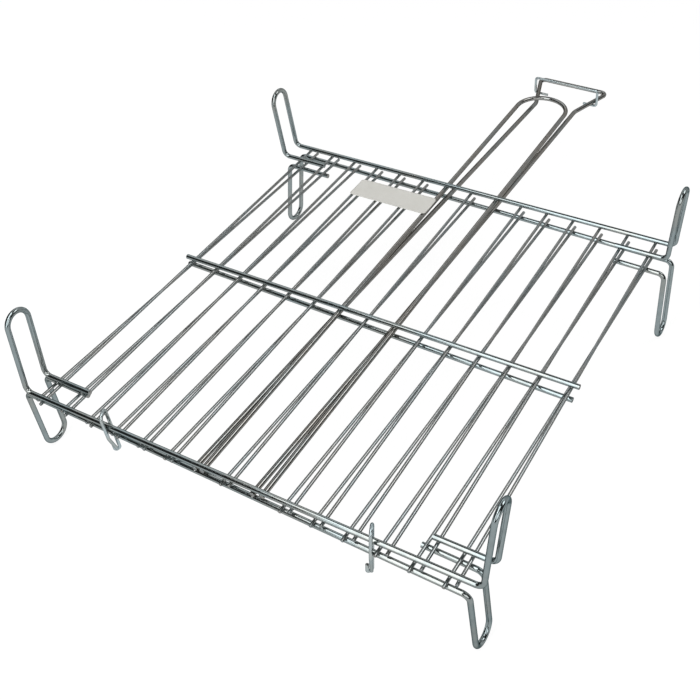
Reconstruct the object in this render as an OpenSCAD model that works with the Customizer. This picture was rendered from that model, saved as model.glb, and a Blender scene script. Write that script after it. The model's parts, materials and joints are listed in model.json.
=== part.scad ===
// Double grill grate: two welded wire grilles hinged by wire rings, with looped legs and a double handle.
// Millimetres. X runs along the rails, Y from the hinge to the handle, Z up. The origin is on the ground
// under the middle of the grate's outline, which stands on the lower grille's four legs.

/* [Wire] */
// Thickness of the wire of the rails, legs, middle bars and handles
rail_d = 5; // [4.5:0.25:6]
// Thickness of the wire of the grille rods
rod_d = 3; // [2.5:0.25:4]
// Thickness of the wire of the hinge rings and the latch ring
ring_d = 3; // [2:0.25:3.5]
// Depth by which a rod is pressed into a rail where they are welded
weld_set = 0.35; // [0.2:0.05:0.5]
// Depth by which a handle wire is pressed into a rail where they are welded
handle_set = 0.8; // [0.6:0.05:1]
// Extra thickness of a wire in a bend, which bending upsets a little
bend_swell = 0.02; // [0.02:0.01:0.1]

/* [Grille] */
// Distance from the front rail to the back rail, centre to centre
grille_depth = 448; // [400:1:500]
// Distance from one rod to the next
rod_pitch = 29; // [26:0.5:34]
// Length of a rod in front of the middle of the front rail
rod_front_past = 5; // [3:0.25:5.25]
// Length of a rod behind the middle of the back rail
rod_back_past = 6.5; // [4:0.5:8]
// Distance from the front rail to the middle bar
mid_bar_y = 221.5; // [200:0.5:250]
// Length of a middle bar beyond the outermost rod
mid_bar_past = 7; // [4:0.5:15]
// Distance from the outermost rod to the corner where the rail turns into a leg
rail_past = 19; // [14:0.5:25]

/* [Legs] */
// Height of a leg, from the middle of its rail to its tip
leg_height = 80; // [50:1:110]
// Distance between the two strands of a leg, which is also that of the stub from its rail
leg_gap = 24; // [20:1:30]
// Lean of the legs away from the middle of the grate, along the rail
leg_splay = 3; // [0:0.5:6]
// Lean of the legs in under the grate, across the rail
leg_lean = 5; // [0:0.5:7]
// Radius of the bend from a rail into a leg, at the middle of the wire
leg_bend_r = 7; // [5:0.5:10]
// Length of the stub beyond the second rod
stub_past = 4.5; // [3:0.5:8]

/* [Handles] */
// Distance from the middle of the handle to each wire of the upper handle
upper_handle_half = 29.5; // [29:0.25:31]
// Distance from the middle of the handle to each wire of the lower handle, in front of its taper
lower_handle_half = 29; // [28:0.25:29.25]
// Length of the upper handle beyond the back rail
upper_handle_reach = 223; // [180:1:240]
// Length of the lower handle beyond the back rail
lower_handle_reach = 284; // [270:1:320]
// Distance from the middle of the handle to each wire at the neck before the flare
neck_half = 25; // [23:0.5:27]
// Distance from the front rail to where the wires of the lower handle begin to draw in towards the neck
taper_start = 200; // [150:5:300]
// Length from the round end of the upper handle to the neck of the lower one
neck_past_arch = 2; // [0:0.5:6]
// Distance from the middle of the handle to each corner of the flare
flare_half = 44; // [42:0.5:50]
// Radius of the corners of the flare, at the middle of the wire
flare_bend_r = 6; // [4:0.5:9]
// Radius of the bends at the taper and at the neck
neck_bend_r = 20; // [10:1:30]
// Length of the handle wires in front of the middle of the front rail
handle_front_past = 1.5; // [0.5:0.25:1.75]

/* [Hinge rings] */
// Clear width between the two strands of a hinge ring
ring_gap = 8.8; // [8.6:0.1:10]
// Height of a hinge ring's top above the middle of the upper rail
ring_above = 16.5; // [10:0.5:25]
// Depth of a hinge ring's bottom below the middle of the lower rail
ring_below = 30.5; // [28:0.5:38]
// Lean of the hinge rings towards the two rails that they hold
ring_lean = 5; // [4:0.5:7]
// Turn of the hinge rings about the upright, which they take up as they hang loosely
ring_turn = 24; // [10:1:26]
// Clearance between a hinge ring and the lower grille's rod to its right, towards which it has slid
ring_clear = 1.1; // [0.5:0.1:6]
// Radius of the bend in the front strand of a hinge ring, under the lower rail
knee_bend_r = 12; // [8:1:15]
// Distance between the two strands at the foot of a hinge ring
foot_gap = 5; // [4.5:0.25:7]
// Height of the front strand's end above the bottom of a hinge ring
foot_rise = 4; // [2:0.5:6]
// Turn of the hook at the end of the rear strand, out of the plane of its ring
hook_turn = 53; // [45:1:90]
// Distance from the rear strand to the tip of the hook
hook_reach = 4.6; // [4.5:0.1:6]
// Height of the hook's tip above the bottom of a hinge ring
hook_rise = 8.5; // [5:0.5:12]
// Radius of the bends of the hook, at the middle of the wire
hook_bend_r = 2.2; // [1.8:0.1:2.2]

/* [Latch ring] */
// Clearance between the latch ring and the handle wires that it slides along
latch_clear = 0.6; // [0.4:0.05:0.8]
// Radius of the bends of the latch ring, at the middle of the wire
latch_bend_r = 3; // [2.5:0.25:3.5]
// Length of the latch ring's hooks under the handle, past the inner side of its wires
latch_hook_past = 3; // [1:0.5:8]

/* [Label] */
// Length of the label along the rails
label_w = 91; // [80:1:96]
// Width of the label along the rods
label_h = 30.5; // [25:0.5:40]
// Thickness of the folded paper
label_t = 0.4; // [0.3:0.05:0.6]
// Distance from the back rail to the middle of the label
label_back = 42.5; // [35:0.5:60]
// Reach of the label over the handle wire that it rests on, from the outer side of that wire
label_over = 5; // [3:0.5:10]

/* [Pose] */
// Angle between the two grilles seen from above, which the loose rings allow
skew = 1.3; // [1:0.1:1.5]
// Distance from the front rail to the point about which the grilles are skewed
skew_pivot = 375; // [350:5:400]
// Clearance between the handle wires and the rail of the other grille, at the front
front_clear = 0.8; // [0.7:0.05:1]
// Clearance between the wires of the two handles where they pass over each other
cross_clear = 0.3; // [0.3:0.05:0.6]

/* [Hidden] */
$fn = 32;

// Rod places of one grille, counted in pitches from the middle. The handle's legs take places 1 and -1.
rod_places = [-7, -6, -5, -4, -3, -2, 0, 2, 3, 4, 5, 6, 7];
outer_place = 7;
stub_place = 6;

// Depth of the rods and of the handle wires beneath the middle of their rails
rod_drop = (rail_d + rod_d) / 2 - weld_set;
handle_drop = rail_d - handle_set;

// Length by which a straight stretch runs on into the bend after it
seam = 0.05;

// Straight stretch at the top of an arch
arch_flat = 1;

// Spacing of the places at which the two handles' wires are compared
lift_step = 5;

// Corner of a rail, end of a stub, and the two strands of a leg
corner_x = outer_place * rod_pitch + rail_past;
stub_x = stub_place * rod_pitch - stub_past;
leg_dir = [cos(leg_lean) * sin(leg_splay), sin(leg_lean), cos(leg_lean) * cos(leg_splay)];
leg_flat = [leg_dir.x, norm([leg_dir.y, leg_dir.z])];
leg_tilt = atan2(leg_dir.y, leg_dir.z);
loop_r = leg_gap * cos(leg_lean) / 2;
outer_strand = (leg_height - rail_d / 2 - loop_r * cos(leg_splay) * (1 - sin(leg_lean))) / leg_dir.z;
inner_strand = outer_strand - leg_gap * sin(leg_lean);

// Handle points along Y, measured from the front rail
arch_y = grille_depth + upper_handle_reach;
neck_y = arch_y + neck_past_arch;
flare_y = grille_depth + lower_handle_reach;
flare_slope = (flare_half - neck_half) / (flare_y - neck_y);

// Height between the two front rails. The upper grille is pitched up from there, just enough for its handle
// wires to clear those of the lower handle, which they pass over at a small angle because of the skew.
rail_gap = rail_d + handle_drop + front_clear;
wire_gap = rail_gap - 2 * handle_drop;
function lower_half(y) = lookup(y, [[taper_start, lower_handle_half], [neck_y, neck_half]]);
function sway(y) = (y - skew_pivot) * tan(skew);
function aside(y) = upper_handle_half - lower_half(y) - abs(sway(y));
function lift(y) = sqrt(max(0, pow(rail_d + cross_clear, 2) - pow(aside(y), 2)));
upper_pitch = atan(max([for (y = [lift_step : lift_step : arch_y]) (lift(y) - wire_gap) / y]));

// Hinge ring, measured in its own plane from the point halfway between the two front rails
ring_half = (ring_gap + ring_d) / 2;
ring_top = rail_gap / 2 + ring_above - ring_d / 2;
ring_bottom = -rail_gap / 2 - ring_below + ring_d / 2;
ring_top_r = ring_half - arch_flat / 2;
ring_knee = [-ring_half, -(rail_gap + rail_d) / 2];
ring_foot = [ring_half - foot_gap, ring_bottom + foot_rise];

// Places of the lower rods to the right of the two hinge rings, and the rings' distance from them
ring_places = [-4, 5];
ring_from_rod = rod_d / 2 + ring_clear + ring_half * sin(ring_turn) + ring_d / 2;

// Latch ring, measured in the lower grille's own place with its rail at height 0
latch_inner = upper_handle_half + sway(arch_y - upper_handle_half) + rail_d / 2 + latch_clear;
latch_half = latch_inner + ring_d / 2;
latch_low = handle_drop - rail_d / 2 - latch_clear - ring_d / 2;
latch_high = rail_gap + arch_y * tan(upper_pitch) - handle_drop + rail_d / 2 + latch_clear + ring_d / 2;
latch_tip = lower_handle_half - rail_d / 2 - latch_hook_past;
flare_edge = rail_d / 2 * norm([1, flare_slope]);
latch_park_y = neck_y + (latch_inner - latch_clear - flare_edge - neck_half) / flare_slope;

// Middle of the whole outline along Y, from the top of the left hinge ring to the end of the lower handle
ring_front = -ring_half * cos(ring_turn) - (ring_top - ring_top_r) * sin(ring_lean) - ring_d / 2;
handle_end = flare_y + rail_d / 2;
middle_y = (ring_front + handle_end) / 2;

rod_numbers = [for (i = [0 : len(rod_places) - 1]) i];
function rod_name(grille, i) = str(grille, "_rod_", i < 9 ? "0" : "", i + 1);

// Bent wire in the XY plane, through the corners pts, each rounded with its own radius

function heading(pts, i) = (pts[i + 1] - pts[i]) / norm(pts[i + 1] - pts[i]);
function turn(pts, i) = let (a = heading(pts, i - 1), b = heading(pts, i)) atan2(cross(a, b), a * b);
function cut(pts, radii, i) =
    i == 0 || i == len(pts) - 1 ? 0 : radii[i - 1] * tan(abs(turn(pts, i)) / 2);

module straight(from, to, d) {
    run = to - from;
    translate([from.x, from.y, 0])
        rotate([0, 0, atan2(run.y, run.x)])
            rotate([0, 90, 0])
                cylinder(h = norm(run), d = d);
}

module bend(pts, radii, i, d) {
    a = heading(pts, i - 1);
    angle = turn(pts, i);
    r = radii[i - 1];
    start = pts[i] - a * cut(pts, radii, i);
    centre = start + [-a.y, a.x] * r * sign(angle);
    out = start - centre;
    translate([centre.x, centre.y, 0])
        rotate([0, 0, atan2(out.y, out.x) + min(angle, 0)])
            rotate_extrude(angle = abs(angle))
                translate([r, 0])
                    circle(d = d + bend_swell);
}

module bent_wire(pts, radii, d) {
    last = len(pts) - 1;
    for (i = [0 : last - 1]) {
        run_on = [i == 0 ? 0 : seam, i + 1 == last ? 0 : seam];
        straight(pts[i] + heading(pts, i) * (cut(pts, radii, i) - run_on[0]),
                 pts[i + 1] - heading(pts, i) * (cut(pts, radii, i + 1) - run_on[1]), d);
    }
    for (i = [1 : last - 1])
        bend(pts, radii, i, d);
}

// Places of the grilles in the part's frame. A grille is drawn with its rails above its rods and its legs up.

module in_frame() {
    translate([0, -middle_y, leg_height])
        children();
}

module skewed(angle) {
    translate([0, skew_pivot, 0])
        rotate([0, 0, angle])
            translate([0, -skew_pivot, 0])
                children();
}

module in_lower() {
    in_frame()
        skewed(-skew / 2)
            mirror([0, 0, 1])
                children();
}

module in_upper() {
    in_frame()
        skewed(skew / 2)
            translate([0, 0, rail_gap])
                rotate([upper_pitch, 0, 0])
                    children();
}

// Pieces of a grille

module leg_end() {
    translate([0, leg_gap, 0])
        rotate([90 - leg_tilt, 0, 0])
            bent_wire([[stub_x, 0], [corner_x, 0], [corner_x, 0] + leg_flat * (inner_strand + seam)],
                      [leg_bend_r], rail_d);
    translate([corner_x, 0, 0] + leg_dir * outer_strand)
        rotate([-leg_lean, leg_splay, 0])
            translate([0, loop_r, 0])
                rotate([90, 0, 90])
                    rotate_extrude(angle = 180)
                        translate([loop_r, 0])
                            circle(d = rail_d + bend_swell);
}

module rail_wire() {
    tip = [corner_x, 0] + leg_flat * (outer_strand + seam);
    color("lightslategray") {
        rotate([90 - leg_tilt, 0, 0])
            bent_wire([[-tip.x, tip.y], [-corner_x, 0], [corner_x, 0], tip],
                      [leg_bend_r, leg_bend_r], rail_d);
        leg_end();
        mirror([1, 0, 0])
            leg_end();
    }
}

module front_rail() {
    rail_wire();
}

module back_rail() {
    translate([0, grille_depth, 0])
        mirror([0, 1, 0])
            rail_wire();
}

module mid_bar() {
    half = outer_place * rod_pitch + mid_bar_past;
    color("slategray")
        translate([0, mid_bar_y, 0])
            straight([-half, 0], [half, 0], rail_d);
}

module rod(place) {
    x = place * rod_pitch;
    color("silver")
        translate([0, 0, -rod_drop])
            straight([x, -rod_front_past], [x, grille_depth + rod_back_past], rod_d);
}

module upper_handle() {
    w = upper_handle_half;
    arch_r = w - arch_flat / 2;
    color("gray")
        translate([0, 0, -handle_drop])
            bent_wire([[-w, -handle_front_past], [-w, arch_y], [w, arch_y], [w, -handle_front_past]],
                      [arch_r, arch_r], rail_d);
}

module lower_handle() {
    side = [[lower_handle_half, -handle_front_past], [lower_handle_half, taper_start],
            [neck_half, neck_y], [flare_half, flare_y]];
    other_side = [for (i = [len(side) - 1 : -1 : 0]) [-side[i].x, side[i].y]];
    radii = [neck_bend_r, neck_bend_r, flare_bend_r];
    color("gray")
        translate([0, 0, -handle_drop])
            bent_wire(concat(side, other_side), concat(radii, [for (i = [2 : -1 : 0]) radii[i]]), rail_d);
}

// Loose rings and the label

module ring_wire() {
    hook_start = ring_bottom + hook_bend_r;
    rotate([90, 0, 90])
        bent_wire([ring_foot, ring_knee, [-ring_half, ring_top], [ring_half, ring_top],
                   [ring_half, hook_start - seam]],
                  [knee_bend_r, ring_top_r, ring_top_r], ring_d);
    translate([0, ring_half, 0])
        rotate([90, 0, 90 - hook_turn])
            bent_wire([[0, hook_start], [0, ring_bottom], [-hook_reach, ring_bottom],
                       [-hook_reach, ring_bottom + hook_rise]],
                      [hook_bend_r, hook_bend_r], ring_d);
}

module hinge_ring(place) {
    x = place * rod_pitch - skew_pivot * sin(skew / 2) - ring_from_rod;
    color("lightsteelblue")
        in_frame()
            translate([x, 0, rail_gap / 2])
                rotate([-sign(place) * ring_lean, 0, 0])
                    rotate([0, 0, ring_turn])
                        ring_wire();
}

module latch_ring() {
    color("lightsteelblue")
        in_frame()
            skewed(-skew / 2)
                translate([0, latch_park_y, 0])
                    rotate([90, 0, 0])
                        bent_wire([[-latch_tip, latch_low], [-latch_half, latch_low], [-latch_half, latch_high],
                                   [latch_half, latch_high], [latch_half, latch_low], [latch_tip, latch_low]],
                                  [for (i = [1 : 4]) latch_bend_r], ring_d);
}

module paper_label() {
    color("gainsboro")
        in_upper()
            translate([-upper_handle_half - rail_d / 2 + label_over - label_w,
                       grille_depth - label_back - label_h / 2, rail_d / 2 - handle_drop])
                cube([label_w, label_h, label_t]);
}

in_upper() front_rail();  // upper_front_rail
in_upper() back_rail();  // upper_back_rail
in_upper() mid_bar();  // upper_mid_bar
in_upper() upper_handle();
in_lower() front_rail();  // lower_front_rail
in_lower() back_rail();  // lower_back_rail
in_lower() mid_bar();  // lower_mid_bar
in_lower() lower_handle();
hinge_ring(ring_places[0]);  // hinge_ring_left
hinge_ring(ring_places[1]);  // hinge_ring_right
latch_ring();
paper_label();
for (i = rod_numbers) {
    in_upper() rod(rod_places[i]);
    in_lower() rod(rod_places[i]);
}
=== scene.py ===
"""Looks of the double grill grate.

Plated steel wire with its welds and cut ends, a bare card label, and a pale studio.
"""
import json
import math
import random

import bmesh
import bpy
import numpy as np
from mathutils import Matrix, Vector


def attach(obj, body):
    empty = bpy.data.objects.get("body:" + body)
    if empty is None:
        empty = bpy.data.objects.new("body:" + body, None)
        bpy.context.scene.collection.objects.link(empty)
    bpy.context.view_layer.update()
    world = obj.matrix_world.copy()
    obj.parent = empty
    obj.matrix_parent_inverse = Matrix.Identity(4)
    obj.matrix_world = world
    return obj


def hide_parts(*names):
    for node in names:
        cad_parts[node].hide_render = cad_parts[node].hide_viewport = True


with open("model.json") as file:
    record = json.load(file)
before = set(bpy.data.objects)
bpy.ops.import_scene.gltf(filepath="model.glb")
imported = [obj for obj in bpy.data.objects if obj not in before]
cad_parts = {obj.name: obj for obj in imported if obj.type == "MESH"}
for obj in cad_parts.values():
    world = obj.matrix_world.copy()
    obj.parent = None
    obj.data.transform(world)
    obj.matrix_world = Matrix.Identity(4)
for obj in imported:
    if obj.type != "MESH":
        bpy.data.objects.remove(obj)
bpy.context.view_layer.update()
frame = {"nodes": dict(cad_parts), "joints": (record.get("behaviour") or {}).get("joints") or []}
nodes = frame["nodes"]

SEED = 7
chance = random.Random(SEED)

MM = 0.001
RAIL_R = 2.5 * MM
ROD_R = 1.5 * MM
RING_R = 1.5 * MM
BARS = ("front_rail", "back_rail", "mid_bar")
RODS = ["rod_%02d" % number for number in range(1, 14)]
OUTER_RODS = RODS[:2] + RODS[-2:]
MIDDLE_ROD = RODS[6]
RINGS = ("hinge_ring_left", "hinge_ring_right", "latch_ring")

# Measuring the wires


def gather(items, field, width, kind=np.float32):
    """One field of all of a mesh's vertices, edges or triangles, as rows."""
    values = np.empty(len(items) * width, kind)
    items.foreach_get(field, values)
    return values.reshape(-1, width)


def corners(node):
    return gather(nodes[node].data.vertices, "co", 3).astype(float)


# A triangle lies on a cut face if its circle is as wide as the wire to within this share. Two triangles lie
# on the same face if the middles of their circles are this close. A face has at least so many triangles.
RADIUS_TOLERANCE = 0.01
SAME_MIDDLE = 0.05 * MM
FEWEST_TRIANGLES = 5
# Keeps a triangle without area from dividing by nothing
TINY = 1e-30


def end_faces(node, radius):
    """Middles and outward directions of a wire's flat cut faces.

    The corners of every triangle of such a face lie on one circle, as wide as the wire.
    """
    mesh = nodes[node].data
    mesh.calc_loop_triangles()
    triangles = corners(node)[gather(mesh.loop_triangles, "vertices", 3, np.int32)]
    a = triangles[:, 0]
    ab, ac = triangles[:, 1] - a, triangles[:, 2] - a
    normal = np.cross(ab, ac)
    size = (normal ** 2).sum(1)[:, None] + TINY
    to_middle = (np.cross(normal, ab) * (ac ** 2).sum(1)[:, None]
                 + np.cross(ac, normal) * (ab ** 2).sum(1)[:, None]) / (2 * size)
    fits = abs(np.linalg.norm(to_middle, axis=1) - radius) < RADIUS_TOLERANCE * radius
    middles, outwards = (a + to_middle)[fits], (normal / np.sqrt(size))[fits]
    found = []
    while len(middles):
        same = np.linalg.norm(middles - middles[0], axis=1) < SAME_MIDDLE
        if same.sum() >= FEWEST_TRIANGLES:
            found.append((middles[same].mean(0), outwards[0]))
        middles, outwards = middles[~same], outwards[~same]
    return found


class Grille:
    """One grille's own place.

    Its x runs along the rails, y from the front rail to the handle, and z from the rods to the legs.
    """

    def __init__(self, name, body, pivot, flip):
        """pivot is the joint about the front rail. flip is -1 for the grille whose legs point down."""
        hinge = next(joint for joint in frame["joints"] if joint["name"] == pivot)
        self.name = name
        self.body = body
        self.origin = np.array(hinge["pos_m"], float)
        x = np.array(hinge["axis"], float)
        rod_ends = [middle for middle, _ in end_faces(self.node(MIDDLE_ROD), ROD_R)]
        start, end = sorted(rod_ends, key=lambda place: place[1])
        y = (end - start) / np.linalg.norm(end - start)
        self.axes = np.array([x, y, np.cross(x, y) * flip])

    def inside(self, points):
        return (np.atleast_2d(points) - self.origin) @ self.axes.T

    def outside(self, points):
        return np.atleast_2d(points) @ self.axes + self.origin

    def node(self, what):
        return self.name + "_" + what

    def box(self, node):
        points = self.inside(corners(node))
        return points.min(0), points.max(0)

    def crossing(self, what, y, side=0):
        """Middle of a lengthwise wire where it passes the place y. side picks one of a handle's two wires."""
        points = self.inside(corners(self.node(what)))
        ends = points[gather(nodes[self.node(what)].data.edges, "vertices", 2, np.int32)]
        ends = ends[(ends[:, 0, 1] < y) != (ends[:, 1, 1] < y)]
        share = (y - ends[:, 0, 1]) / (ends[:, 1, 1] - ends[:, 0, 1])
        cut = ends[:, 0] + (ends[:, 1] - ends[:, 0]) * share[:, None]
        cut = cut[cut[:, 0] * side >= 0]
        return (cut.min(0) + cut.max(0)) / 2


upper = Grille("upper", "upper_grille", "upper_turn", 1)
lower = Grille("lower", "lower_grille", "ring_left_swing", -1)
GRILLES = (upper, lower)

# Materials


def linear(hex_colour):
    """sRGB hex to the linear colour that shaders use."""
    channels = [int(hex_colour[i:i + 2], 16) / 255 for i in (1, 3, 5)]
    return tuple(c / 12.92 if c <= 0.04045 else ((c + 0.055) / 1.055) ** 2.4 for c in channels) + (1.0,)


def add_node(tree, kind, settings=None, links=None):
    """Adds one shader node, sets its fields and input values, and links inputs to other nodes' outputs.

    Sockets go by name, or by number where a node repeats a name.
    """
    node = tree.nodes.new(kind)
    for field, value in (settings or {}).items():
        if isinstance(field, str) and hasattr(node, field):
            setattr(node, field, value)
        else:
            node.inputs[field].default_value = value
    for socket, output in (links or {}).items():
        tree.links.new(output, node.inputs[socket])
    return node


def new_material(name):
    material = bpy.data.materials.new(name)
    material.use_nodes = True
    material.node_tree.nodes.clear()
    return material, material.node_tree


# Numbers of a colour mix's sockets: its share, its two colours and its result
SHARE, FIRST, SECOND = 0, 6, 7
MIXED = 2

ALONG_X, ALONG_Y, ALONG_Z = 0, 1, 2
# Die lines are a few hundredths of a millimetre wide, and are drawn coarser, so that they show
DIE_LINE_WIDTH = 0.9 * MM
DIE_LINE_LENGTH = 40 * MM
DIE_LINE_DEPTH = 0.03 * MM
DIE_LINE_STRENGTH = 0.15
# The tint changes over the length of this many clouds
CLOUDS_PER_TINT = 8
# A pattern's values run from 0 to 1. Between these two the plate turns from cool to warm, clouds over or
# loses gloss.
TINT_START, TINT_END = 0.4, 0.6
CLOUD_START, CLOUD_END = 0.45, 0.7
GLOSS_START, GLOSS_END = 0.3, 0.7
MOST_CLOUDED = 0.6
# Roughness of the glossiest and of the dullest plate, as shares of the wire's mean one
GLOSSIEST, DULLEST = 0.8, 1.3


def plated_wire(name, cool, warm, clouded, rim_tint_and_shade, roughness, drawn, patch_mm):
    """Zinc plate on drawn steel wire.

    The plate is a bright metal whose reflection darkens towards its outline, partly the metal's own tint at
    grazing angles and partly painted shade along the rim. It is slightly clouded in patches by the rinse.
    The die lines of the drawn wire show through it lengthwise.
    """
    material, tree = new_material(name)
    place = add_node(tree, "ShaderNodeTexCoord").outputs["Object"]
    batches = add_node(tree, "ShaderNodeTexNoise",
                       {"Scale": 1 / (patch_mm * CLOUDS_PER_TINT * MM), "Detail": 1.0}, {"Vector": place})
    patches = add_node(tree, "ShaderNodeTexNoise", {"Scale": 1 / (patch_mm * MM), "Detail": 2.0},
                       {"Vector": place})
    stretch = [1 / DIE_LINE_WIDTH] * 3
    stretch[drawn] = 1 / DIE_LINE_LENGTH
    lengthwise = add_node(tree, "ShaderNodeMapping", {"Scale": stretch}, {"Vector": place})
    die_lines = add_node(tree, "ShaderNodeTexNoise", {"Scale": 1.0, "Detail": 2.0},
                         {"Vector": lengthwise.outputs[0]})
    warmth = add_node(tree, "ShaderNodeMapRange", {"From Min": TINT_START, "From Max": TINT_END},
                      {0: batches.outputs["Fac"]})
    tint = add_node(tree, "ShaderNodeMix", {"data_type": "RGBA", FIRST: linear(cool), SECOND: linear(warm)},
                    {SHARE: warmth.outputs[0]})
    cloud = add_node(tree, "ShaderNodeMapRange",
                     {"From Min": CLOUD_START, "From Max": CLOUD_END, "To Max": MOST_CLOUDED},
                     {0: patches.outputs["Fac"]})
    colour = add_node(tree, "ShaderNodeMix", {"data_type": "RGBA", SECOND: linear(clouded)},
                      {SHARE: cloud.outputs[0], FIRST: tint.outputs[MIXED]})
    gloss = add_node(tree, "ShaderNodeMapRange",
                     {"From Min": GLOSS_START, "From Max": GLOSS_END,
                      "To Min": roughness * GLOSSIEST, "To Max": roughness * DULLEST},
                     {0: patches.outputs["Fac"]})
    bump = add_node(tree, "ShaderNodeBump", {"Strength": DIE_LINE_STRENGTH, "Distance": DIE_LINE_DEPTH},
                    {"Height": die_lines.outputs["Fac"]})
    # Specular Tint takes the rim colour: partly the metal's tint at grazing angles, partly painted shade, set
    # dark so that the wire's outline looks shaded
    shader = add_node(tree, "ShaderNodeBsdfPrincipled", {"Metallic": 1.0, "Specular Tint": linear(rim_tint_and_shade)},
                      {"Base Color": colour.outputs[MIXED], "Roughness": gloss.outputs[0],
                       "Normal": bump.outputs["Normal"]})
    add_node(tree, "ShaderNodeOutputMaterial", None, {"Surface": shader.outputs[0]})
    return material


# The fourth colour of each wire is its tint at grazing angles, kept dark as painted shade along the outline,
# darkest on the rods
zinc_plated_rail_wire = plated_wire(
    "zinc_plated_rail_wire", cool="#899496", warm="#8E9290", clouded="#7E8788", rim_tint_and_shade="#82898A",
    roughness=0.13, drawn=ALONG_X, patch_mm=6)
zinc_plated_rod_wire = plated_wire(
    "zinc_plated_rod_wire", cool="#909697", warm="#949593", clouded="#878987", rim_tint_and_shade="#505353",
    roughness=0.15, drawn=ALONG_Y, patch_mm=5)
zinc_plated_handle_wire = plated_wire(
    "zinc_plated_handle_wire", cool="#8A8D8C", warm="#8E8C88", clouded="#807D78", rim_tint_and_shade="#6E6C69",
    roughness=0.19, drawn=ALONG_Y, patch_mm=6)
# Small loose parts are plated in a turning barrel, which leaves them paler and duller than the racked grilles
satin_zinc_ring_wire = plated_wire(
    "satin_zinc_ring_wire", cool="#AAB7BB", warm="#ACB2B1", clouded="#9EA9AB", rim_tint_and_shade="#8E9698",
    roughness=0.26, drawn=ALONG_Z, patch_mm=3)
plated_weld_metal = plated_wire(
    "plated_weld_metal", cool="#8E9597", warm="#92918E", clouded="#7A7E7D", rim_tint_and_shade="#686C6C",
    roughness=0.24, drawn=ALONG_Y, patch_mm=1.5)

CARD_MOTTLE = 9 * MM
# Length, width and depth of the card's fibres, which are a few hundredths of a millimetre wide, and are drawn
# coarser, so that they show
CARD_FIBRE = (1.8 * MM, 0.35 * MM, 1.0 * MM)
FIBRE_HEIGHT = 0.05 * MM
FIBRE_STRENGTH = 0.25
CARD_ROUGHNESS = 0.62


def card_material():
    """Uncoated folding card, pale and a little warm, with loose fibres and a faint mottle from handling."""
    material, tree = new_material("uncoated_label_card")
    place = add_node(tree, "ShaderNodeTexCoord").outputs["Object"]
    mottle = add_node(tree, "ShaderNodeTexNoise", {"Scale": 1 / CARD_MOTTLE, "Detail": 4.0},
                      {"Vector": place})
    fibre_size = add_node(tree, "ShaderNodeMapping", {"Scale": [1 / size for size in CARD_FIBRE]},
                          {"Vector": place})
    fibres = add_node(tree, "ShaderNodeTexNoise", {"Scale": 1.0, "Detail": 5.0, "Roughness": 0.7},
                      {"Vector": fibre_size.outputs[0]})
    colour = add_node(tree, "ShaderNodeMix",
                      {"data_type": "RGBA", FIRST: linear("#D0CFCA"), SECOND: linear("#C6C5BE")},
                      {SHARE: mottle.outputs["Fac"]})
    bump = add_node(tree, "ShaderNodeBump", {"Strength": FIBRE_STRENGTH, "Distance": FIBRE_HEIGHT},
                    {"Height": fibres.outputs["Fac"]})
    shader = add_node(tree, "ShaderNodeBsdfPrincipled", {"Roughness": CARD_ROUGHNESS},
                      {"Base Color": colour.outputs[MIXED], "Normal": bump.outputs["Normal"]})
    add_node(tree, "ShaderNodeOutputMaterial", None, {"Surface": shader.outputs[0]})
    return material


label_card = card_material()


def dress(node, material):
    mesh = nodes[node].data
    mesh.materials.clear()
    mesh.materials.append(material)


for grille in GRILLES:
    for bar in BARS:
        dress(grille.node(bar), zinc_plated_rail_wire)
    for rod in RODS:
        dress(grille.node(rod), zinc_plated_rod_wire)
    dress(grille.node("handle"), zinc_plated_handle_wire)
for ring in RINGS:
    dress(ring, satin_zinc_ring_wire)

# Welds and cut ends


def make_piece(name, points, faces, material, body):
    mesh = bpy.data.meshes.new(name)
    mesh.from_pydata([tuple(p) for p in points], [], faces)
    mesh.polygons.foreach_set("use_smooth", [True] * len(mesh.polygons))
    mesh.materials.append(material)
    piece = bpy.data.objects.new(name, mesh)
    bpy.context.scene.collection.objects.link(piece)
    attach(piece, body)
    return piece


LUMP_ROWS, LUMP_SIDES = 8, 14
# A lump's surface swells in waves, two sets round it and one from top to bottom. Each set has the number of
# waves in a full turn, and how many times weaker it is than the unevenness asked for.
WAVES_ROUND = ((2, 2), (3, 3))
WAVES_DOWN, WEAKER_DOWN = 2, 4


def lump(centre, reach, uneven):
    """A closed, slightly uneven drop of metal. reach holds its three half sizes as rows."""
    turns = np.arange(LUMP_SIDES) * math.tau / LUMP_SIDES
    *round_phases, down_phase = [chance.uniform(0, math.tau) for _ in range(3)]
    round_swell = sum(np.sin(count * turns + phase) / weaker
                      for (count, weaker), phase in zip(WAVES_ROUND, round_phases))
    points = []
    for i in range(1, LUMP_ROWS):
        tilt = math.pi * i / LUMP_ROWS
        swell = 1 + uneven * (round_swell + math.sin(WAVES_DOWN * tilt + down_phase) / WEAKER_DOWN)
        unit = np.stack([math.sin(tilt) * np.cos(turns), math.sin(tilt) * np.sin(turns),
                         np.full(LUMP_SIDES, math.cos(tilt))], axis=1)
        points.extend(centre + (unit * swell[:, None]) @ reach)
    top, bottom = len(points), len(points) + 1
    points += [centre + reach[2], centre - reach[2]]
    last = (LUMP_ROWS - 2) * LUMP_SIDES
    faces = []
    for k in range(LUMP_SIDES):
        j = (k + 1) % LUMP_SIDES
        faces.append((top, k, j))
        faces.append((bottom, last + j, last + k))
        for row in range(0, last, LUMP_SIDES):
            faces.append((row + k, row + LUMP_SIDES + k, row + LUMP_SIDES + j, row + j))
    return points, faces


def join(parts):
    points, faces = [], []
    for some_points, some_faces in parts:
        base = len(points)
        points.extend(some_points)
        faces.extend(tuple(i + base for i in face) for face in some_faces)
    return points, faces


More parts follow.
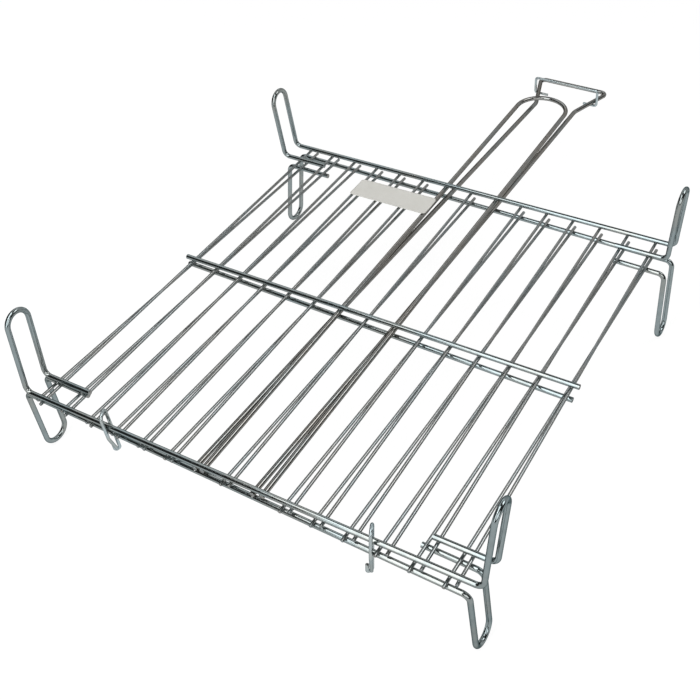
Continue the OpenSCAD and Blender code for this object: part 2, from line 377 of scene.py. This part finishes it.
# A resistance weld squeezes a little metal out round the place where two wires meet. Half sizes along the
# bar, along the rod and in height, and the shares of them between which single welds differ.
WELD_BEAD = np.array([1.55, 2.0, 0.85]) * MM
SMALLEST_WELD, LARGEST_WELD = 0.85, 1.15
HANDLE_WELD_GROWTH = 1.25
BEAD_UNEVEN = 0.16


def weld_bead(grille, middle, radius):
    """One weld between a bar and a lengthwise wire. middle is where that wire's middle crosses the bar."""
    grow = HANDLE_WELD_GROWTH if radius > ROD_R else 1.0
    meeting = np.array([middle[0], middle[1], (middle[2] + radius - RAIL_R) / 2])
    size = WELD_BEAD * grow * [chance.uniform(SMALLEST_WELD, LARGEST_WELD) for _ in range(3)]
    points, faces = lump(meeting, np.diag(size), BEAD_UNEVEN)
    return list(grille.outside(np.array(points))), faces


def weld_bar(grille, what, bar_y, rods, with_handle):
    beads = [weld_bead(grille, grille.crossing(rod, bar_y), ROD_R) for rod in rods]
    if with_handle:
        beads += [weld_bead(grille, grille.crossing("handle", bar_y, side), RAIL_R) for side in (-1, 1)]
    points, faces = join(beads)
    make_piece(grille.node(what + "_welds"), points, faces, plated_weld_metal, grille.body)


def stub_place(grille, rail):
    """Place across the rods of the stubs in which a rail's wire ends, behind its leg loops."""
    ends = grille.inside([middle for middle, _ in end_faces(grille.node(rail), RAIL_R)])
    return ends[:, 1].mean()


for grille in GRILLES:
    low, high = grille.box(grille.node("mid_bar"))
    back_y = grille.box(grille.node("back_rail"))[1][1] - RAIL_R
    weld_bar(grille, "front_rail", 0.0, RODS, True)
    weld_bar(grille, "mid_bar", (low[1] + high[1]) / 2, RODS, True)
    weld_bar(grille, "back_rail", back_y, RODS, True)
    weld_bar(grille, "front_stub", stub_place(grille, "front_rail"), OUTER_RODS, False)
    weld_bar(grille, "back_stub", stub_place(grille, "back_rail"), OUTER_RODS, False)

# Sheared ends bulge a little and lose their sharp rim in the plating bath
SHEAR_HEIGHT = 0.3 * MM
LOWEST_SHEAR, HIGHEST_SHEAR = 0.7, 1.2
SHEAR_SHARE = 0.985
# A cut face that looks up or down by more than this takes its sides from X, and any other from the upright
NEARLY_UPRIGHT = 0.9


def cut_ends(name, wires, radius, body):
    """The domed cut faces of some wires, as one piece."""
    parts = []
    for wire in wires:
        for middle, outward in end_faces(wire, radius):
            across = [0.0, 0.0, 1.0] if abs(outward[2]) < NEARLY_UPRIGHT else [1.0, 0.0, 0.0]
            side = np.cross(outward, across)
            side = side / np.linalg.norm(side)
            reach = np.array([side * radius * SHEAR_SHARE, np.cross(outward, side) * radius * SHEAR_SHARE,
                              outward * SHEAR_HEIGHT * chance.uniform(LOWEST_SHEAR, HIGHEST_SHEAR)])
            parts.append(lump(middle, reach, 0.0))
    points, faces = join(parts)
    make_piece(name, points, faces, plated_weld_metal, body)


for grille in GRILLES:
    rods = [grille.node(rod) for rod in RODS]
    bars = [grille.node(bar) for bar in BARS]
    cut_ends(grille.node("rod_cut_ends"), rods, ROD_R, grille.body)
    cut_ends(grille.node("bar_cut_ends"), bars, RAIL_R, grille.body)
    cut_ends(grille.node("handle_cut_ends"), [grille.node("handle")], RAIL_R, grille.body)
for ring in RINGS:
    cut_ends(ring + "_cut_ends", [ring], RING_R, ring)

# The label: a thin card with rounded corners, which rests on a handle wire. Its edges curl up a little.

CARD_CORNER = 3.5 * MM
CARD_THICK = 0.35 * MM
CARD_CURL = 0.9 * MM
# Shares of the curl: that of the two long edges at the card's left end, what it gains towards the right end,
# and that of the left end itself
EDGE_CURL, EDGE_CURL_GAIN = 0.35, 0.65
LEFT_CURL = 0.2
CARD_STEPS = (64, 24)


def make_label():
    low, high = upper.box("paper_label")
    across, along = CARD_STEPS
    rows = []
    for j in range(along + 1):
        v = j / along
        y = low[1] + v * (high[1] - low[1])
        from_edge = min(y - low[1], high[1] - y, CARD_CORNER)
        inset = CARD_CORNER - math.sqrt(max(0.0, CARD_CORNER ** 2 - (CARD_CORNER - from_edge) ** 2))
        for i in range(across + 1):
            u = i / across
            edge_lift = (2 * v - 1) ** 2 * (EDGE_CURL + EDGE_CURL_GAIN * u)
            lift = CARD_CURL * (edge_lift + LEFT_CURL * (1 - u) ** 2)
            rows.append((low[0] + inset + (high[0] - low[0] - 2 * inset) * u, y, low[2] + lift))
    under = np.array(rows)
    points = np.concatenate([under + [0, 0, CARD_THICK], under])
    count = len(under)
    row = across + 1
    faces = []
    for j in range(along):
        for i in range(across):
            quad = (j * row + i, j * row + i + 1, (j + 1) * row + i + 1, (j + 1) * row + i)
            faces += [quad, tuple(k + count for k in reversed(quad))]
    near_edge = list(range(row))
    right_edge = [j * row + across for j in range(1, along + 1)]
    far_edge = [along * row + i for i in range(across - 1, -1, -1)]
    left_edge = [j * row for j in range(along - 1, 0, -1)]
    rim = near_edge + right_edge + far_edge + left_edge
    for a, b in zip(rim, rim[1:] + rim[:1]):
        faces.append((b, a, a + count, b + count))
    label = make_piece("card_label", upper.outside(points), faces, label_card, "upper_grille")
    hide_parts("paper_label")


make_label()

# Camera at the photograph's view. Angles are in degrees, film width and focal length in millimetres, other
# lengths in metres, and picture shifts in parts of the picture's width.
AIM = Vector((0.0, -0.1429, 0.086))
CAMERA_AZIMUTH = 32.588
CAMERA_RISE = 40.720
CAMERA_ROLL = -3.526
CAMERA_DISTANCE = 0.99123
CAMERA_REACH = 50.0
FILM_WIDTH = 36.0
FOCAL_LENGTH = 54.145
SHIFT = (-0.02155, -0.03993)


def make_camera():
    turn, rise, roll = (math.radians(a) for a in (CAMERA_AZIMUTH, CAMERA_RISE, CAMERA_ROLL))
    back = Vector((math.cos(rise) * math.sin(turn), -math.cos(rise) * math.cos(turn), math.sin(rise)))
    flat = Vector((math.cos(turn), math.sin(turn), 0.0))
    upright = back.cross(flat)
    right = flat * math.cos(roll) + upright * math.sin(roll)
    up = upright * math.cos(roll) - flat * math.sin(roll)
    camera = bpy.data.objects.new("camera", bpy.data.cameras.new("camera"))
    camera.data.lens = FOCAL_LENGTH
    camera.data.sensor_width = FILM_WIDTH
    camera.data.shift_x, camera.data.shift_y = SHIFT
    camera.data.clip_end = CAMERA_REACH
    camera.matrix_world = Matrix.Translation(AIM + back * CAMERA_DISTANCE) @ Matrix(
        (right, up, back)).transposed().to_4x4()
    bpy.context.scene.collection.objects.link(camera)
    bpy.context.scene.camera = camera


make_camera()

# Studio: a white floor that keeps a faint shadow, a dim room and soft panels

FLOOR_RADIUS = 6.0
FLOOR_SIDES = 64
FLOOR_DROP = 0.1 * MM
FLOOR_GLOW = 1.06
# Near the grate the floor shows more of its own light and shade. Further out, where the lamps don't reach, it
# is as white as the room.
FLOOR_NEAR, FLOOR_FAR = 0.8, 1.8
FLOOR_NEAR_SHARE, FLOOR_FAR_SHARE = 0.85, 0.96


def stage_piece(name, mesh, material):
    mesh.materials.append(material)
    piece = bpy.data.objects.new(name, mesh)
    bpy.context.scene.collection.objects.link(piece)
    return piece


def make_floor():
    """Matt white board.

    The camera and the wires mostly see a white glow, and the rest is paint, which shows the lamps' light and
    the grate's shadow.
    """
    material, tree = new_material("matt_white_floor")
    rays = add_node(tree, "ShaderNodeLightPath")
    seen = add_node(tree, "ShaderNodeMath", {"operation": "MAXIMUM"},
                    {0: rays.outputs["Is Camera Ray"], 1: rays.outputs["Is Glossy Ray"]})
    seen = add_node(tree, "ShaderNodeMath", {"operation": "MAXIMUM"},
                    {0: seen.outputs[0], 1: rays.outputs["Is Transmission Ray"]})
    place = add_node(tree, "ShaderNodeTexCoord").outputs["Object"]
    distance = add_node(tree, "ShaderNodeVectorMath", {"operation": "LENGTH"}, {0: place})
    reach = add_node(tree, "ShaderNodeMapRange",
                     {"From Min": FLOOR_NEAR, "From Max": FLOOR_FAR,
                      "To Min": FLOOR_NEAR_SHARE, "To Max": FLOOR_FAR_SHARE},
                     {0: distance.outputs["Value"]})
    share = add_node(tree, "ShaderNodeMath", {"operation": "MULTIPLY"},
                     {0: seen.outputs[0], 1: reach.outputs[0]})
    paint = add_node(tree, "ShaderNodeBsdfDiffuse", {"Color": linear("#EEEEEE")})
    glow = add_node(tree, "ShaderNodeEmission", {"Color": linear("#FFFFFF"), "Strength": FLOOR_GLOW})
    mixed = add_node(tree, "ShaderNodeMixShader", None,
                     {0: share.outputs[0], 1: paint.outputs[0], 2: glow.outputs[0]})
    add_node(tree, "ShaderNodeOutputMaterial", None, {"Surface": mixed.outputs[0]})
    turns = [math.tau * k / FLOOR_SIDES for k in range(FLOOR_SIDES)]
    rim = [(FLOOR_RADIUS * math.cos(a), FLOOR_RADIUS * math.sin(a), -FLOOR_DROP) for a in turns]
    mesh = bpy.data.meshes.new("floor")
    mesh.from_pydata(rim, [], [tuple(range(FLOOR_SIDES))])
    stage_piece("floor", mesh, material)


make_floor()

ROOM_RADIUS = 6.5
ROOM_FINENESS = 3
ROOM_DARK = 0.035
ROOM_BACK_WALL = 0.68
# The lit wall starts and is full where directions point this far back, and dims and ends where they point
# this far up. Both are parts of a direction's length.
WALL_STARTS, WALL_FULL = 0.52, 0.72
WALL_DIMS, WALL_ENDS = 0.65, 0.85


def make_room():
    """Dark cloth all round with a lit wall behind, which draws dark lines beside the lights on the wire.

    The cloth hangs only in the reflections, and the camera sees the white room beyond it.
    """
    material, tree = new_material("dark_studio_cloth")
    place = add_node(tree, "ShaderNodeTexCoord").outputs["Object"]
    direction = add_node(tree, "ShaderNodeVectorMath", {"operation": "NORMALIZE"}, {0: place})
    part = add_node(tree, "ShaderNodeSeparateXYZ", None, {0: direction.outputs[0]})
    behind = add_node(tree, "ShaderNodeMapRange", {"From Min": WALL_STARTS, "From Max": WALL_FULL},
                      {0: part.outputs["Y"]})
    under_top = add_node(tree, "ShaderNodeMapRange", {"From Min": WALL_ENDS, "From Max": WALL_DIMS},
                         {0: part.outputs["Z"]})
    lit = add_node(tree, "ShaderNodeMath", {"operation": "MULTIPLY"},
                   {0: behind.outputs[0], 1: under_top.outputs[0]})
    level = add_node(tree, "ShaderNodeMapRange", {"To Min": ROOM_DARK, "To Max": ROOM_BACK_WALL},
                     {0: lit.outputs[0]})
    cloth = add_node(tree, "ShaderNodeEmission", {"Color": linear("#FFFFFF")}, {"Strength": level.outputs[0]})
    add_node(tree, "ShaderNodeOutputMaterial", None, {"Surface": cloth.outputs[0]})
    material.cycles.emission_sampling = "NONE"
    shell = bmesh.new()
    bmesh.ops.create_icosphere(shell, subdivisions=ROOM_FINENESS, radius=ROOM_RADIUS)
    mesh = bpy.data.meshes.new("studio_cloth")
    shell.to_mesh(mesh)
    shell.free()
    stage_piece("studio_cloth", mesh, material).visible_camera = False


def make_world():
    world = bpy.data.worlds.new("white_room")
    bpy.context.scene.world = world
    world.use_nodes = True
    world.node_tree.nodes.clear()
    white = add_node(world.node_tree, "ShaderNodeBackground", {"Color": linear("#FFFFFF"), "Strength": 1.0})
    add_node(world.node_tree, "ShaderNodeOutputWorld", None, {"Surface": white.outputs[0]})


make_room()
make_world()

CEILING = 1.5
# Name, place, the point that the panel faces, its width and length, and its radiance
PANELS = (
    ("front_panel", (-0.14, -1.45, 0.8), (-0.14, -0.1, 0.1), (0.58, 1.4), 3.3),
    ("front_ceiling_panel", (-0.15, -0.75, CEILING), (-0.15, -0.75, 0.0), (1.0, 1.1), 3.5),
    ("right_front_panel", (1.15, -1.35, 0.95), (0.0, -0.2, 0.1), (1.6, 1.1), 2.2),
    ("right_ceiling_panel", (0.85, 0.72, CEILING), (0.85, 0.72, 0.0), (1.1, 0.85), 3.5),
    ("left_ceiling_panel", (-1.4, 1.0, CEILING), (-1.4, 1.0, 0.0), (1.5, 2.6), 1.05),
)


def soft_panel(name, place, aim, size, radiance):
    """An even panel lamp. radiance is how bright its face is, where 1 shows as white."""
    lamp = bpy.data.lights.new(name, "AREA")
    lamp.shape = "RECTANGLE"
    lamp.size, lamp.size_y = size
    lamp.energy = radiance * size[0] * size[1] * math.pi
    panel = bpy.data.objects.new(name, lamp)
    panel.location = place
    panel.rotation_euler = (Vector(aim) - Vector(place)).to_track_quat("-Z", "Y").to_euler()
    panel.visible_camera = False
    bpy.context.scene.collection.objects.link(panel)


for name, place, aim, size, radiance in PANELS:
    soft_panel(name, place, aim, size, radiance)

bpy.context.scene.view_settings.view_transform = "Standard"
bpy.context.view_layer.update()
